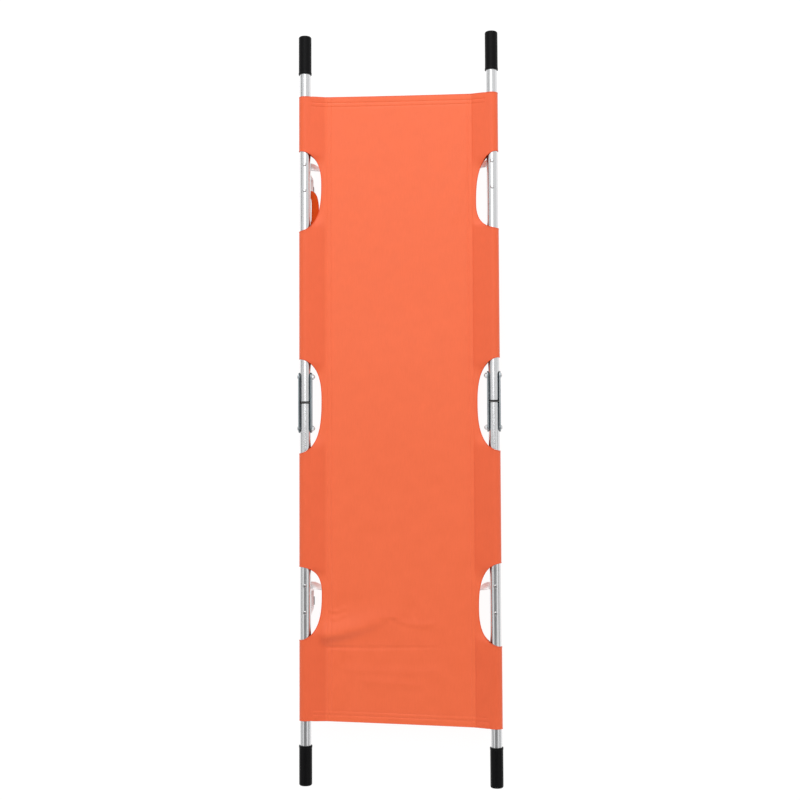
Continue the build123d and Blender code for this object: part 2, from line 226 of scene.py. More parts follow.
def relief(x, along):
    """Height of sag, wrinkles and stitch grooves on the bed between the pockets."""
    clear = smooth((np.abs(along) - HINGE) / 0.06)
    bed = 1 - smooth((np.abs(x) - SEAM_X) / 0.03)
    total = -SAG * np.clip(1 - (x / SEAM_X) ** 2, 0, 1) * smooth((np.abs(along) - HINGE) / 0.2)
    for wrinkle in RIDGES:
        total = total + ridge(x, along, *wrinkle) * clear * bed
    ripple = np.sin(along * 95 + 2.1 * np.sin(x * 17)) * np.sin(x * 41 + 3 * np.sin(along * 11))
    total = total + RIPPLE * ripple * clear * bed
    for line in SEAM_STITCHES:
        total = total - SEAM_GROOVE * np.exp(-(((x - line) / SEAM_GROOVE_WIDTH) ** 2))
    for depth in HEM_STITCHES:
        beside = (hem_depth(x, along) - depth) / HEM_GROOVE_WIDTH
        total = total - HEM_GROOVE * np.exp(-(beside**2))
    return total


def foot_edge(x):
    return FOOT_EDGE + FOOT_SLANT * x


def hem_depth(x, along):
    """Distance in from the bed's head or foot edge."""
    return np.where(along > 0, HEAD_EDGE - along, along - foot_edge(x))


def bed_layer(across, along, over):
    """X and height of the bed's cloth: flat between the seams, and over or under a pole's axis."""
    inboard, height = wrapped(SEAM_WRAP - (np.abs(across) - SEAM_X))
    banded = np.abs(across) > SEAM_X
    x = np.where(banded, np.sign(across) * (POLE_X - inboard), across)
    z = np.where(banded, over * height * both_sides(lift, across, along), 0)
    return x, z


def upper_layer(across, along):
    x, z = bed_layer(across, along, 1)
    return placed(x, along, z + relief(x, along))


def lower_layer(across, along):
    x, z = bed_layer(across, along, -1)
    on_bed = 1 - smooth((np.abs(across) - SEAM_X) / 0.02)
    return placed(x, along, z - LAYER_GAP + relief(x, along) * on_bed)


def pocket_layer(side):
    """The cloth round a pole: a negative wrap lies below the pole."""

    def place(wrap, along):
        inboard, height = wrapped(wrap)
        x = SIDES[side] * (POLE_X - inboard)
        below = smooth((-wrap - ARC_WRAP) / (SPLIT_WRAP - ARC_WRAP))
        stand = np.where(np.abs(wrap) > ARC_WRAP, lift(side, along), 1)
        z = np.sign(wrap) * height * stand - LAYER_GAP * below
        return placed(x, along, z)

    return place


def placed(x, along, z):
    return np.stack([x, FOLD_Y + along, AXIS_Z + z], axis=-1)


# ---------------------------------------------------------------- mesh building


def triangulated(points, lines, keep):
    """A flat triangle mesh through the points that follows the lines, where keep allows it."""
    verts = [Vector(point) for point in points]
    edges = []
    for line in lines:
        first = len(verts)
        verts += [Vector(point) for point in line]
        edges += [(first + i, first + i + 1) for i in range(len(line) - 1)]
    found, _, faces, *_ = delaunay_2d_cdt(verts, edges, [], 0, 1e-6)
    flat = np.array([tuple(point) for point in found])
    tris = np.array([face for face in faces if len(face) == 3])
    a, b, c = (flat[tris[:, i]] for i in range(3))
    turn = (b[:, 0] - a[:, 0]) * (c[:, 1] - a[:, 1]) - (b[:, 1] - a[:, 1]) * (c[:, 0] - a[:, 0])
    tris[turn < 0] = tris[turn < 0][:, ::-1]
    centre = (a + b + c) / 3
    tris = tris[keep(centre[:, 0], centre[:, 1]) & (np.abs(turn) > 1e-10)]
    used = np.unique(tris)
    renumber = np.full(len(flat), -1)
    renumber[used] = np.arange(len(used))
    return flat[used], renumber[tris]


def grid_points(columns, rows, lines):
    """Grid points that keep clear of the lines."""
    grid = np.array([(column, row) for row in rows for column in columns])
    marks = np.concatenate([np.array(line) for line in lines])
    clear = np.ones(len(grid), bool)
    for start in range(0, len(grid), 2000):
        part = grid[start : start + 2000]
        gap = np.hypot(part[:, None, 0] - marks[None, :, 0], part[:, None, 1] - marks[None, :, 1])
        clear[start : start + 2000] = gap.min(axis=1) > CLEAR
    return grid[clear]


def point_normals(points, tris):
    a, b, c = (points[tris[:, i]] for i in range(3))
    face = np.cross(b - a, c - a)
    normals = np.zeros_like(points)
    for i in range(3):
        np.add.at(normals, tris[:, i], face)
    return normals / np.linalg.norm(normals, axis=1, keepdims=True)


def shell(flat, tris, place, thickness, slot=CLOTH_SLOTS["cloth"]):
    """A closed sheet of cloth over flat points, as vertices, faces, flat places and a slot."""
    middle = place(flat[:, 0], flat[:, 1])
    normals = point_normals(middle, tris)
    half = thickness(middle)[:, None] / 2
    count = len(middle)
    verts = np.concatenate([middle + normals * half, middle - normals * half])
    directed = {}
    for tri in tris.tolist():
        for i in range(3):
            directed[(tri[i], tri[(i + 1) % 3])] = True
    rims = [[b, a, a + count, b + count] for a, b in directed if (b, a) not in directed]
    faces = tris.tolist() + (tris[:, ::-1] + count).tolist() + rims
    return verts, faces, np.concatenate([flat, flat]), slot


def tube(path, radius, sides=8, slot=CLOTH_SLOTS["rim"]):
    """A closed rounded bead along a path of points."""
    path = np.asarray(path)
    along = np.gradient(path, axis=0)
    along /= np.linalg.norm(along, axis=1, keepdims=True)
    up = np.array([0.0, 0.0, 1.0])
    first = np.cross(along, up)
    first /= np.maximum(np.linalg.norm(first, axis=1, keepdims=True), 1e-9)
    second = np.cross(first, along)
    scale = np.ones(len(path))
    scale[0] = scale[-1] = 0.5
    turn = np.arange(sides) * 2 * pi / sides
    verts = (
        path[:, None]
        + first[:, None] * (np.cos(turn) * radius)[None, :, None] * scale[:, None, None]
        + second[:, None] * (np.sin(turn) * radius)[None, :, None] * scale[:, None, None]
    ).reshape(-1, 3)
    faces = [list(range(sides))[::-1], [len(verts) - sides + i for i in range(sides)]]
    for ring in range(len(path) - 1):
        base = ring * sides
        for i in range(sides):
            j = (i + 1) % sides
            faces.append([base + i, base + j, base + sides + j, base + sides + i])
    return verts, [face[::-1] for face in faces], verts[:, :2].copy(), slot


def stitches(lines, place, length=0.0036, pitch=0.005, radius=0.00034):
    """Thread stitches, one short closed bead each, along lines of flat points."""
    centres, runs = [], []
    for line in lines:
        line = np.array(line)
        steps = np.hypot(*np.diff(line, axis=0).T)
        reach = np.concatenate([[0], np.cumsum(steps)])
        spots = np.arange(pitch / 2, reach[-1], pitch)
        flat = np.stack([np.interp(spots, reach, line[:, i]) for i in range(2)], axis=-1)
        near = np.stack([np.interp(spots + 1e-4, reach, line[:, i]) for i in range(2)], axis=-1)
        spot = place(flat[:, 0], flat[:, 1])
        run = place(near[:, 0], near[:, 1]) - spot
        size = np.linalg.norm(run, axis=1)
        good = size > 1e-6
        centres.append(spot[good])
        runs.append(run[good] / size[good][:, None])
    centre = np.concatenate(centres)
    run = np.concatenate(runs)
    beside = np.cross(np.array([0.0, 0.0, 1.0]), run)
    beside /= np.linalg.norm(beside, axis=1, keepdims=True)
    up = np.cross(run, beside)
    centre = centre + up * (CLOTH / 2 + radius * 0.3)
    sides = 4
    verts = []
    for offset, share, dip in ((-0.5, 0.5, 0.7), (-0.3, 1, 0), (0.3, 1, 0), (0.5, 0.5, 0.7)):
        for i in range(sides):
            angle = 2 * pi * i / sides
            verts.append(
                centre
                + run * offset * length
                + beside * cos(angle) * radius * share
                + up * (sin(angle) * share - dip) * radius
            )
    verts = np.stack(verts, axis=1)
    template = [[3, 2, 1, 0], [12, 13, 14, 15]]
    for ring in range(3):
        for i in range(sides):
            j = (i + 1) % sides
            base = ring * sides
            template.append([base + i, base + j, base + sides + j, base + sides + i])
    faces = []
    for spot in range(len(verts)):
        faces += [[16 * spot + i for i in face] for face in template]
    verts = verts.reshape(-1, 3)
    return verts, faces, verts[:, :2].copy(), CLOTH_SLOTS["thread"]


def built(name, parts, materials, sharp=50):
    """One object from closed parts, with the flat cloth as its UV map."""
    verts, faces, flats, slots = [], [], [], []
    for part_verts, part_faces, flat, slot in parts:
        first = sum(len(v) for v in verts)
        verts.append(part_verts)
        flats.append(flat)
        faces += [[first + i for i in face] for face in part_faces]
        slots += [slot] * len(part_faces)
    verts = np.concatenate(verts)
    flats = np.concatenate(flats)
    mesh = bpy.data.meshes.new(name)
    mesh.from_pydata(verts.tolist(), [], faces)
    mesh.polygons.foreach_set("material_index", slots)
    mesh.polygons.foreach_set("use_smooth", [True] * len(faces))
    loops = np.zeros(len(mesh.loops), int)
    mesh.loops.foreach_get("vertex_index", loops)
    mesh.uv_layers.new(name="flat").data.foreach_set("uv", flats[loops].ravel())
    # A float of painted shade for the cloth's colour, over the pockets and where the cloth turns
    # down at a pole
    shade = mesh.attributes.new("shade", "FLOAT", "POINT")
    shade.data.foreach_set("value", painted_shade(verts))
    mesh.set_sharp_from_angle(angle=radians(sharp))
    for material in materials:
        mesh.materials.append(material)
    obj = bpy.data.objects.new(name, mesh)
    scene.collection.objects.link(obj)
    return obj


def painted_shade(verts):
    """Painted shade for the cloth's colour: 1 where the cloth is double, over the pockets, and more
    where it turns down at a pole.
    """
    x = np.abs(verts[:, 0])
    along = verts[:, 1] - FOLD_Y
    stand = both_sides(lift, verts[:, 0], along)
    band = smooth((x - SEAM_X) / 0.003) * stand
    # More painted shade where the cloth turns down round a pole's outer side
    turned = smooth((x - POLE_X - 0.003) / 0.012)
    return (band + 0.8 * turned).astype(np.float32)


# ---------------------------------------------------------------- lines on the flat cloth


def spaced(start, stop, step):
    return np.linspace(start, stop, max(2, ceil(abs(stop - start) / step) + 1))


def cut_line(cutout, grow=0.0, count=CUT_POINTS):
    """A cutout's edge as wrap and along, from its far end to its near end."""
    far, near, deepest = cutout
    depth = wrap_at(POLE_X - CUTOUT_EDGE_X) + grow
    angle = np.linspace(0, pi, count)
    turn = np.cos(angle)
    half = np.where(turn > 0, far - deepest, deepest - near) + grow
    wrap = depth * np.sin(angle) ** (2 / CUTOUT_POWER)
    return wrap, deepest + np.sign(turn) * half * np.abs(turn) ** (2 / CUTOUT_POWER)


def split_runs(mask):
    """Start and stop of each stretch where mask is true."""
    steps = np.diff(np.concatenate([[False], mask, [False]]).astype(int))
    return list(zip(np.where(steps == 1)[0], np.where(steps == -1)[0]))


def bed_cut_lines(low, high, grow=0.0, count=CUT_POINTS):
    """The cut edges inside a bed piece, as lists of flat points."""
    lines = []
    for side, sign in SIDES.items():
        for cutout in CUTOUTS[side]:
            wrap, along = cut_line(cutout, grow, count)
            across = sign * (SEAM_X + SEAM_WRAP - wrap)
            inside = (wrap > SPLIT_WRAP) & (along > low) & (along < high)
            for start, stop in split_runs(inside):
                line = list(zip(across[start:stop], along[start:stop]))
                lines.append(clipped_ends(line, across, along, start, stop, low, high))
    return [line for line in lines if len(line) > 2]


def clipped_ends(line, across, along, start, stop, low, high):
    """Adds the points where a cut line leaves the piece."""
    for index, at_start in ((start - 1, True), (stop, False)):
        if not 0 <= index < len(along):
            continue
        near = line[0] if at_start else line[-1]
        beyond = np.array([across[index], along[index]])
        near = np.array(near)
        shares = [1.0]
        for limit in (low, high):
            if (near[1] - limit) * (beyond[1] - limit) < 0:
                shares.append((limit - near[1]) / (beyond[1] - near[1]))
        if abs(beyond[0]) > SPLIT_ACROSS:
            shares.append((SPLIT_ACROSS - abs(near[0])) / (abs(beyond[0]) - abs(near[0])))
        point = tuple(near + (beyond - near) * min(shares))
        line = [point] + line if at_start else line + [point]
    return line


def bed_rows(low, high):
    if low < FINE_BELOW < high:
        rows = [*spaced(low, FINE_BELOW, FINE_GRID)[:-1], *spaced(FINE_BELOW, high, GRID)]
    else:
        rows = list(spaced(low, high, GRID))
    return rows


def foot_across(across):
    """The foot edge at a place across the flat cloth."""
    return FOOT_EDGE + FOOT_SLANT * np.clip(across, -SPLIT_ACROSS, SPLIT_ACROSS)


def head_hem_rows():
    """Rows along the bed that hold the stitch grooves of the head's hem."""
    return [HEAD_EDGE - depth + step for depth in HEM_STITCHES for step in HEM_STEPS]


def foot_hem_points():
    """Points that hold the stitch grooves of the foot's slanted hem."""
    points = []
    across = spaced(-HEM_ROWS_TO, HEM_ROWS_TO, GRID)
    for depth in HEM_STITCHES:
        for step in HEM_STEPS:
            points += list(zip(across, foot_across(across) + depth + step))
    return points


def bed_columns():
    columns = list(spaced(-BED_COLUMNS_TO, BED_COLUMNS_TO, GRID))
    for line in SEAM_STITCHES:
        columns += [line + step for step in SEAM_STEPS]
    for sign in (-1, 1):
        columns += [sign * (SEAM_X + step) for step in BAND_COLUMNS]
    return sorted(columns)


def lower_edge(low):
    """A bed piece's edge nearer the foot, as a function of the place across the cloth."""
    if low == FOOT_EDGE:
        return foot_across
    return lambda across: np.full(len(across), low)


def outline(low, high, left, right):
    """The four edges of a bed piece, the foot edge on its slant."""
    bottom = lower_edge(low)
    across = spaced(left, right, GRID)
    lines = [list(zip(across, np.full(len(across), high)))]
    lines.append(list(zip(across, bottom(across))))
    for edge in (left, right):
        start = float(bottom(np.array([edge]))[0])
        rows = spaced(start, high, GRID)
        lines.append(list(zip(np.full(len(rows), edge), rows)))
    return lines


def cloth_here(low, left, right):
    """Says which flat points are cloth: inside the piece and outside the cutouts."""
    bottom = lower_edge(low)

    def keep(across, along):
        wrap = SEAM_WRAP - (np.abs(across) - SEAM_X)
        whole = wrap > both_sides(cut_wrap, across, along)
        return whole & (along > bottom(across)) & (across > left) & (across < right)

    return keep


def bed_thickness(points):
    depth = hem_depth(points[:, 0], points[:, 1] - FOLD_Y)
    return CLOTH * (2 - smooth((depth - HEM) / HEM_ROLL))


def lower_thickness(points):
    return np.full(len(points), CLOTH)


def bed_shells(low, high):
    """The upper layer of a bed piece, and the layers turned under along its sides."""
    cuts = bed_cut_lines(low, high)
    edges = outline(low, high, -SPLIT_ACROSS, SPLIT_ACROSS)
    rows = bed_rows(low, high)
    if high == HEAD_EDGE:
        rows += head_hem_rows()
    points = list(grid_points(bed_columns(), rows, cuts + edges))
    if low == FOOT_EDGE:
        points += foot_hem_points()
    flat, tris = triangulated(points, cuts + edges, cloth_here(low, -SPLIT_ACROSS, SPLIT_ACROSS))
    shells = [shell(flat, tris, upper_layer, bed_thickness)]
    for sign in (-1, 1):
        left, right = sorted((sign * (SEAM_X - TURN_IN), sign * SPLIT_ACROSS))
        lines = [line for line in cuts if line[0][0] * sign > 0]
        lines += outline(low, high, left, right)
        columns = spaced(left, right, LOWER_GRID)
        points = grid_points(columns, spaced(low, high, LOWER_GRID), lines)
        flat, tris = triangulated(points, lines, cloth_here(low, left, right))
        shells.append(shell(flat, tris, lower_layer, lower_thickness))
    return shells


def across_edge(edge, across, depth=0.0):
    """Along of a line that runs across the bed, a depth in from its head or foot edge."""
    if edge < 0:
        return foot_across(across) + depth
    return np.full(len(across), edge - depth)


def bed_beads(low, high, ends):
    """The rolled edges round the cutouts, and at the head or the foot."""
    beads = []
    for line in bed_cut_lines(low, high, count=CUT_BEAD_POINTS):
        across, along = np.array(line).T
        beads.append(tube(upper_layer(across, along), CUT_BEAD))
        beads.append(tube(lower_layer(across, along), CUT_BEAD))
    across = spaced(-SPLIT_ACROSS, SPLIT_ACROSS, GRID)
    for edge in ends:
        beads.append(tube(upper_layer(across, across_edge(edge, across)), END_BEAD))
    return beads


def bed_sewing(low, high, ends):
    """The lines of stitches on a bed piece: along the pockets, the hems and the cutouts."""
    lines = []
    for x in SEAM_STITCHES:
        start = foot_edge(x) + STITCH_END if low == FOOT_EDGE else low
        stop = high - STITCH_END if high == HEAD_EDGE else high
        lines.append([(x, start), (x, stop)])
    across = spaced(-SPLIT_ACROSS + 0.002, SPLIT_ACROSS - 0.002, GRID)
    for edge in ends:
        for depth in HEM_STITCHES:
            lines.append(list(zip(across, across_edge(edge, across, depth))))
    return lines + bed_cut_lines(low, high, grow=CUT_STITCHES, count=CUT_BEAD_POINTS)


def bed_piece(part, low, high, body):
    """A piece of the bed between the pockets, which rides on one of the poles' bodies."""
    ends = [edge for edge in (low, high) if edge in (FOOT_EDGE, HEAD_EDGE)]
    parts = bed_shells(low, high) + bed_beads(low, high, ends)
    parts.append(stitches(bed_sewing(low, high, ends), upper_layer))
    obj = built(f"cloth_bed_{part}", parts, CLOTH_MATERIALS)
    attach(obj, body)
    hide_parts(f"bed_{part}")
    return obj


def pocket_beads(side, low, high, place):
    """The rolled edges of the cutouts' ends, where they cross over a pole."""
    beads = []
    for cutout in CUTOUTS[side]:
        deepest = cutout[2]
        wrap, along = cut_line(cutout, count=TIP_BEAD_POINTS)
        for tip in (along > deepest, along < deepest):
            near = tip & (wrap < SPLIT_WRAP) & (along > low) & (along < high)
            if near.sum() > 3:
                order = np.argsort(wrap[near])
                over = wrap[near][order]
                beside = along[near][order]
                wraps = np.concatenate([-over[::-1], over[1:]])
                alongs = np.concatenate([beside[::-1], beside[1:]])
                beads.append(tube(place(wraps, alongs), CUT_BEAD))
    return beads


def pocket_piece(side, end):
    """The cloth round one half of a pole."""
    if end == "head":
        low, high, edge = HINGE, HEAD_EDGE, HEAD_EDGE
    else:
        edge = foot_edge(SIDES[side] * POLE_X)
        low, high = edge, -HINGE
    place = pocket_layer(side)
    lines = []
    for cutout in CUTOUTS[side]:
        wrap, along = cut_line(cutout)
        inside = (wrap < SPLIT_WRAP + 0.003) & (along > low) & (along < high)
        for mirror in (1, -1):
            for start, stop in split_runs(inside):
                lines.append(list(zip(mirror * wrap[start:stop], along[start:stop])))
    wraps = spaced(-SPLIT_WRAP, SPLIT_WRAP, POCKET_GRID)
    rows = spaced(low, high, POCKET_ROWS)
    lines += [list(zip(wraps, np.full(len(wraps), along))) for along in (low, high)]
    lines += [list(zip(np.full(len(rows), wrap), rows)) for wrap in (-SPLIT_WRAP, SPLIT_WRAP)]

    def keep(wrap, along):
        return (np.abs(wrap) > cut_wrap(side, along)) & (np.abs(wrap) < SPLIT_WRAP)

    flat, tris = triangulated(grid_points(wraps[1:-1], rows, lines), lines, keep)
    if side == "left":
        tris = tris[:, ::-1]
    parts = [shell(flat, tris, place, lower_thickness)]
    parts += pocket_beads(side, low, high, place)
    parts.append(tube(place(wraps, np.full(len(wraps), edge)), END_BEAD))
    obj = built(f"cloth_pocket_{side}_{end}", parts, CLOTH_MATERIALS)
    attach(obj, f"pole_{side}_{end}")
    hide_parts(f"bed_pocket_{side}_{end}")
    return obj


# ---------------------------------------------------------------- materials


class Paint:
    """A Principled material whose colour, roughness and relief vary with procedural nodes."""

    def __init__(self, name, metallic=0.0, specular=0.5):
        self.material = bpy.data.materials.new(name)
        self.material.use_nodes = True
        self.tree = self.material.node_tree
        self.shader = self.tree.nodes["Principled BSDF"]
        self.shader.inputs["Metallic"].default_value = metallic
        self.shader.inputs["Specular IOR Level"].default_value = specular

    def node(self, kind, **values):
        made = self.tree.nodes.new(kind)
        for key, value in values.items():
            setattr(made, key, value)
        return made

    def link(self, output, target):
        self.tree.links.new(output, target)

    def coordinates(self, kind, stretch):
        source = self.node("ShaderNodeTexCoord")
        mapping = self.node("ShaderNodeMapping")
        mapping.inputs["Scale"].default_value = stretch
        self.link(source.outputs[kind], mapping.inputs["Vector"])
        return mapping.outputs["Vector"]

    def noise(self, vector, scale, detail=3.0, roughness=0.5):
        made = self.node("ShaderNodeTexNoise")
        made.inputs["Scale"].default_value = scale
        made.inputs["Detail"].default_value = detail
        made.inputs["Roughness"].default_value = roughness
        self.link(vector, made.inputs["Vector"])
        return made.outputs["Fac"]

    def between(self, factor, low, high):
        """Spreads a noise's middle range between two numbers."""
        made = self.node("ShaderNodeMapRange")
        made.inputs["From Min"].default_value = 0.3
        made.inputs["From Max"].default_value = 0.7
        made.inputs["To Min"].default_value = low
        made.inputs["To Max"].default_value = high
        self.link(factor, made.inputs["Value"])
        return made.outputs["Result"]

    def bump(self, height, distance, strength, before=None):
        made = self.node("ShaderNodeBump")
        made.inputs["Distance"].default_value = distance
        made.inputs["Strength"].default_value = strength
        self.link(height, made.inputs["Height"])
        if before is not None:
            self.link(before, made.inputs["Normal"])
        return made.outputs["Normal"]


def mix_socket(node, name):
    """A colour Mix node's socket: several share a name."""
    return [s for s in node.inputs if s.name == name and s.type == "RGBA"][0]


def finish_material(
    name, light, dark, rough, metallic, scale, stretch=(1, 1, 1), relief_depth=2e-5, specular=0.5
):
    """A hard surface: grain of a scale, stretched along a direction for drawn or rolled metal."""
    paint = Paint(name, metallic, specular)
    vector = paint.coordinates("Object", stretch)
    grain = paint.noise(vector, scale)
    broad = paint.noise(paint.coordinates("Object", (1, 1, 1)), 35)
    tone = paint.node("ShaderNodeMix", data_type="RGBA")
    mix_socket(tone, "A").default_value = (*dark, 1)
    mix_socket(tone, "B").default_value = (*light, 1)
    paint.link(paint.between(grain, 0, 1), tone.inputs["Factor"])
    paint.link(tone.outputs[2], paint.shader.inputs["Base Color"])
    paint.link(paint.between(broad, *rough), paint.shader.inputs["Roughness"])
    paint.link(paint.bump(grain, relief_depth, 0.5), paint.shader.inputs["Normal"])
    return paint.material


PAINTED_SHADE_TINT = (0.945, 0.865, 0.82)  # painted shade: no light comes through double cloth, so it looks deeper, and this tint darkens its colour to stand in for that


def cloth_finish(name, light, dark, pitch=0.0011, depth=0.00012, specular=0.35):
    """Woven coated cloth: warp and weft on the flat cloth's own coordinates."""
    paint = Paint(name, specular=specular)
    flat = paint.coordinates("UV", (1, 1, 1))
    waves = []
    for direction in ("X", "Y"):
        wave = paint.node("ShaderNodeTexWave", bands_direction=direction)
        wave.inputs["Scale"].default_value = 2 * pi / (20 * pitch)
        paint.link(flat, wave.inputs["Vector"])
        waves.append(wave.outputs["Fac"])
    weave = paint.node("ShaderNodeMath", operation="ADD")
    paint.link(waves[0], weave.inputs[0])
    paint.link(waves[1], weave.inputs[1])
    patches = paint.noise(flat, 22, 4.0)
    slubs = paint.noise(paint.coordinates("UV", (1, 0.12, 1)), 330, 2.0)
    blend = paint.node("ShaderNodeMath", operation="MULTIPLY_ADD")
    blend.inputs[1].default_value = 0.45
    paint.link(slubs, blend.inputs[0])
    part = paint.node("ShaderNodeMath", operation="MULTIPLY")
    part.inputs[1].default_value = 0.55
    paint.link(patches, part.inputs[0])
    paint.link(part.outputs[0], blend.inputs[2])
    tone = paint.node("ShaderNodeMix", data_type="RGBA")
    mix_socket(tone, "A").default_value = (*dark, 1)
    mix_socket(tone, "B").default_value = (*light, 1)
    paint.link(paint.between(blend.outputs[0], 0, 1), tone.inputs["Factor"])
    # The shade attribute multiplies the colour by the tint for double cloth: painted shade over the
    # pockets and where the cloth turns down at a pole
    shade = paint.node("ShaderNodeAttribute", attribute_name="shade")
    darker = paint.node("ShaderNodeMix", data_type="RGBA", blend_type="MULTIPLY")
    mix_socket(darker, "B").default_value = (*PAINTED_SHADE_TINT, 1)
    paint.link(shade.outputs["Fac"], darker.inputs["Factor"])
    paint.link(tone.outputs[2], mix_socket(darker, "A"))
    paint.link(darker.outputs[2], paint.shader.inputs["Base Color"])
    paint.link(paint.between(patches, 0.42, 0.52), paint.shader.inputs["Roughness"])
    pucker = paint.bump(paint.noise(flat, 110, 3.0), 0.0004, 0.25)
    paint.link(paint.bump(weave.outputs[0], depth, 0.35, pucker), paint.shader.inputs["Normal"])
    paint.shader.inputs["Sheen Weight"].default_value = 0.02
    paint.shader.inputs["Sheen Roughness"].default_value = 0.5
    return paint.material


cloth_material = cloth_finish("bed_cloth", (0.885, 0.148, 0.051), (0.835, 0.136, 0.045))
rim_material = cloth_finish("cloth_rim", (0.86, 0.120, 0.036), (0.78, 0.105, 0.030))
thread_material = cloth_finish("sewing_thread", (0.90, 0.20, 0.10), (0.78, 0.14, 0.06), 0.0006)
CLOTH_MATERIALS = [cloth_material, rim_material, thread_material]
# The webbing's colours are darker and deeper than the bed cloth's: painted shade, for the shadow
# the loop lies in under the pole
webbing_material = cloth_finish(
    "webbing", (0.70, 0.085, 0.0012), (0.56, 0.060, 0.0010), 0.0018, 0.0003, specular=0.12
)

METALS = {
    "tube": finish_material(
        "drawn_aluminium", (0.74, 0.745, 0.755), (0.68, 0.685, 0.695), (0.17, 0.26), 1.0, 260,
        (1, 0.02, 1), 6e-6,
    ),
    "grip": finish_material(
        "black_rubber", (0.0048, 0.0048, 0.0052), (0.0026, 0.0026, 0.0029), (0.34, 0.44), 0.0, 420,
        (1, 1, 1), 5e-5, 0.09,
    ),
    "end_plug": finish_material(
        "black_plastic", (0.010, 0.010, 0.011), (0.006, 0.006, 0.007), (0.4, 0.5), 0.0, 300,
        (1, 1, 1), 2e-5, 0.2,
    ),
    "link_plate": finish_material(
        "blued_steel", (0.30, 0.345, 0.37), (0.22, 0.26, 0.28), (0.30, 0.42), 1.0, 300,
        (1, 0.06, 0.3), 1e-5,
    ),
    "zinc": finish_material(
        "zinc_plated_steel", (0.72, 0.73, 0.74), (0.60, 0.61, 0.62), (0.22, 0.34), 1.0, 240,
    ),
    "rivets": finish_material(
        "rivet_steel", (0.56, 0.56, 0.56), (0.46, 0.46, 0.47), (0.14, 0.20), 1.0, 240,
    ),
    "leg_bracket": finish_material(
        "leg_steel", (0.86, 0.88, 0.89), (0.78, 0.80, 0.81), (0.30, 0.42), 0.15, 220,
        (0.3, 0.06, 0.3),
    ),
    "spreader_arm": finish_material(
        "spreader_steel", (0.88, 0.91, 0.92), (0.80, 0.83, 0.84), (0.28, 0.40), 0.15, 220,
        (0.06, 0.3, 0.3),
    ),
    "foot_pad": finish_material(
        "foot_rubber", (0.050, 0.042, 0.040), (0.030, 0.026, 0.025), (0.55, 0.70), 0.0, 380,
        (1, 1, 1), 8e-5, 0.3,
    ),
}
NODE_METALS = {
    "tube_": "tube",
    "grip_": "grip",
    "end_plug_": "end_plug",
    "link_plate_": "link_plate",
    "pivot_bush_": "zinc",
    "pivot_bolts_": "zinc",
    "pivot_nuts_": "zinc",
    "centre_pin_": "zinc",
    "rivets_": "rivets",
    "leg_bracket_": "leg_bracket",
    "spreader_arm_": "spreader_arm",
    "foot_pad_": "foot_pad",
}
for name, node in frame["nodes"].items():
    for prefix, metal in NODE_METALS.items():
        if name.startswith(prefix):
            node.data.materials.clear()
            node.data.materials.append(METALS[metal])

# ---------------------------------------------------------------- the bed

BED_PARTS = {
    "head": (HINGE, HEAD_EDGE, "pole_left_head"),
    "middle": (-HINGE, HINGE, "link_left"),
    "foot": (FOOT_EDGE, -HINGE, "pole_left_foot"),
}
bed_pieces = {part: bed_piece(part, *values) for part, values in BED_PARTS.items()}
for piece in bed_pieces.values():
    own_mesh(piece)
pockets = {(side, end): pocket_piece(side, end) for side in SIDES for end in ("head", "foot")}

# ---------------------------------------------------------------- the tie loop

LOOP_WEB = 0.0016
LOOP_FLAT = (0.020, 0.15)
LOOP_BULGE = 0.0006
# Places down the loop's inner edge and its outer edge: X, along, and height from the pole's axis.
LOOP_EDGES = [
    ((-0.2600, 0.5730, -0.0205), (-0.2600, 0.5960, -0.0205)),
    ((-0.2520, 0.5730, -0.0206), (-0.2490, 0.5900, -0.0212)),
    ((-0.2450, 0.5700, -0.0210), (-0.2370, 0.5860, -0.0230)),
    ((-0.2426, 0.5620, -0.0215), (-0.2282, 0.5720, -0.0250)),
    ((-0.2420, 0.5460, -0.0220), (-0.2238, 0.5450, -0.0260)),
    ((-0.2424, 0.5240, -0.0215), (-0.2262, 0.5210, -0.0250)),
    ((-0.2430, 0.5060, -0.0205), (-0.2320, 0.5030, -0.0230)),
    ((-0.2480, 0.4960, -0.0195), (-0.2420, 0.4880, -0.0210)),
    ((-0.2600, 0.4900, -0.0180), (-0.2600, 0.4760, -0.0182)),
]


def curve_through(points, steps):
    """A smooth Catmull-Rom line through points."""
    points = np.array(points)
    ends = [2 * points[0] - points[1], *points, 2 * points[-1] - points[-2]]
    line = []
    for a, b, c, d in zip(ends[:-3], ends[1:-2], ends[2:-1], ends[3:]):
        for t in np.arange(steps) / steps:
            line.append(
                0.5
                * (
                    2 * b
                    + (c - a) * t
                    + (2 * a - 5 * b + 4 * c - d) * t**2
                    + (3 * b - a - 3 * c + d) * t**3
                )
            )
    line.append(points[-1])
    return np.array(line)


